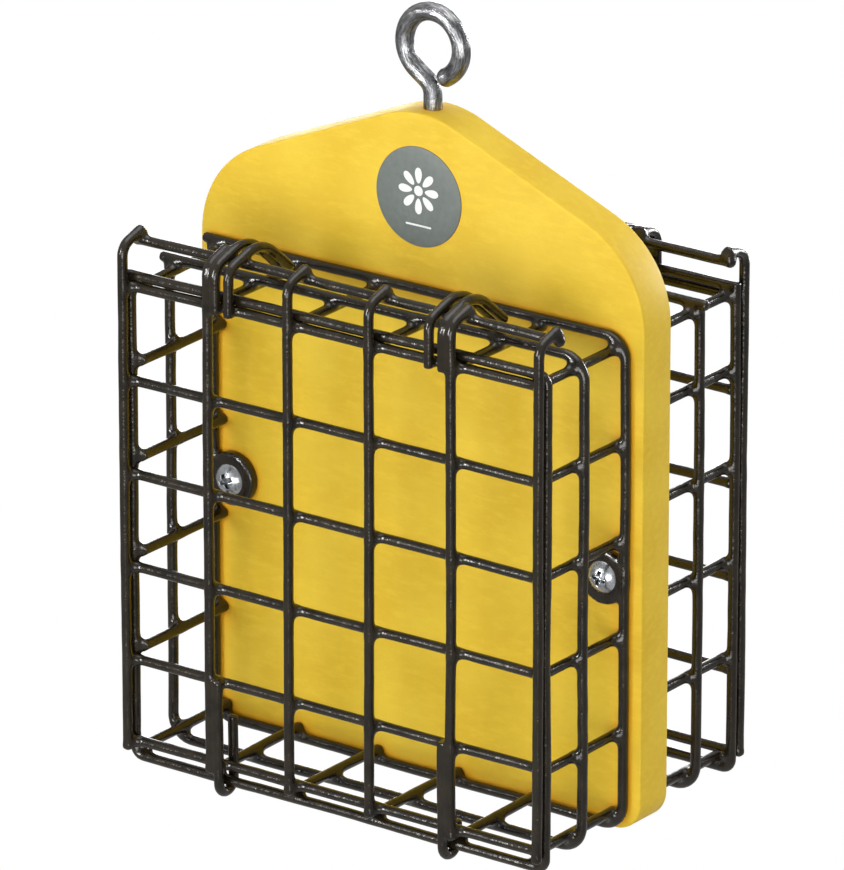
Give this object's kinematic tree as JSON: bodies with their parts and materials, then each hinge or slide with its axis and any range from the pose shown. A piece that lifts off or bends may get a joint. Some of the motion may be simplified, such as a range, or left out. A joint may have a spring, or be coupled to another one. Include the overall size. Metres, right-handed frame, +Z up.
{
  "type": "hanging suet bird feeder",
  "caption": "Gable-topped plastic board hung from an eye screw, with a square vinyl-dipped wire suet cage on each face, each closed by a drop-down wire door with sprung latches",
  "frame": {"origin": "centre of the hanging eye, where the hook or cord passes through", "axes": "+Z up, front cage towards -Y, +X to the right of someone facing the front cage"},
  "size_m": [0.139, 0.0916, 0.2098],
  "materials": {
    "yellow_plastic": "satin, lightly mottled recycled polyethylene",
    "label": "matt printed label",
    "zinc_wire": "bright zinc plate",
    "screw_zinc": "bright zinc plate",
    "vinyl_wire": "steel wire dipped in dark glossy vinyl"
  },
  "bodies": {
    "root": {"back_cage_bottom_wires": "vinyl_wire", "back_cage_eyelets": "vinyl_wire", "back_cage_front_hoop": "vinyl_wire", "back_cage_left_wires": "vinyl_wire", "back_cage_middle_hoop": "vinyl_wire", "back_cage_rear_hoop": "vinyl_wire", "back_cage_right_wires": "vinyl_wire", "back_cage_top_wires": "vinyl_wire", "back_screws": "screw_zinc", "board": "yellow_plastic", "eye_screw": "zinc_wire", "front_cage_bottom_wires": "vinyl_wire", "front_cage_eyelets": "vinyl_wire", "front_cage_front_hoop": "vinyl_wire", "front_cage_left_wires": "vinyl_wire", "front_cage_middle_hoop": "vinyl_wire", "front_cage_rear_hoop": "vinyl_wire", "front_cage_right_wires": "vinyl_wire", "front_cage_top_wires": "vinyl_wire", "front_screws": "screw_zinc", "label_disc": "label"},
    "front_door": {"front_door_left_hinge_hook": "vinyl_wire", "front_door_left_latch": "vinyl_wire", "front_door_lip_rail": "vinyl_wire", "front_door_rail_1": "vinyl_wire", "front_door_rail_2": "vinyl_wire", "front_door_rail_3": "vinyl_wire", "front_door_rail_4": "vinyl_wire", "front_door_rail_5": "vinyl_wire", "front_door_rail_6": "vinyl_wire", "front_door_right_hinge_hook": "vinyl_wire", "front_door_right_latch": "vinyl_wire", "front_door_upright_1": "vinyl_wire", "front_door_upright_2": "vinyl_wire", "front_door_upright_3": "vinyl_wire", "front_door_upright_4": "vinyl_wire", "front_door_upright_5": "vinyl_wire", "front_door_upright_6": "vinyl_wire"},
    "back_door": {"back_door_left_hinge_hook": "vinyl_wire", "back_door_left_latch": "vinyl_wire", "back_door_lip_rail": "vinyl_wire", "back_door_rail_1": "vinyl_wire", "back_door_rail_2": "vinyl_wire", "back_door_rail_3": "vinyl_wire", "back_door_rail_4": "vinyl_wire", "back_door_rail_5": "vinyl_wire", "back_door_rail_6": "vinyl_wire", "back_door_right_hinge_hook": "vinyl_wire", "back_door_right_latch": "vinyl_wire", "back_door_upright_1": "vinyl_wire", "back_door_upright_2": "vinyl_wire", "back_door_upright_3": "vinyl_wire", "back_door_upright_4": "vinyl_wire", "back_door_upright_5": "vinyl_wire", "back_door_upright_6": "vinyl_wire"}
  },
  "joints": [
    {"name": "front_door_hinge", "type": "hinge", "parent": "root", "child": "front_door", "pos_m": [0, -0.04125, -0.1943], "axis": [1, 0, 0], "range_deg": [0, 180]},
    {"name": "back_door_hinge", "type": "hinge", "parent": "root", "child": "back_door", "pos_m": [0, 0.04125, -0.1943], "axis": [-1, 0, 0], "range_deg": [0, 180]}
  ]
}
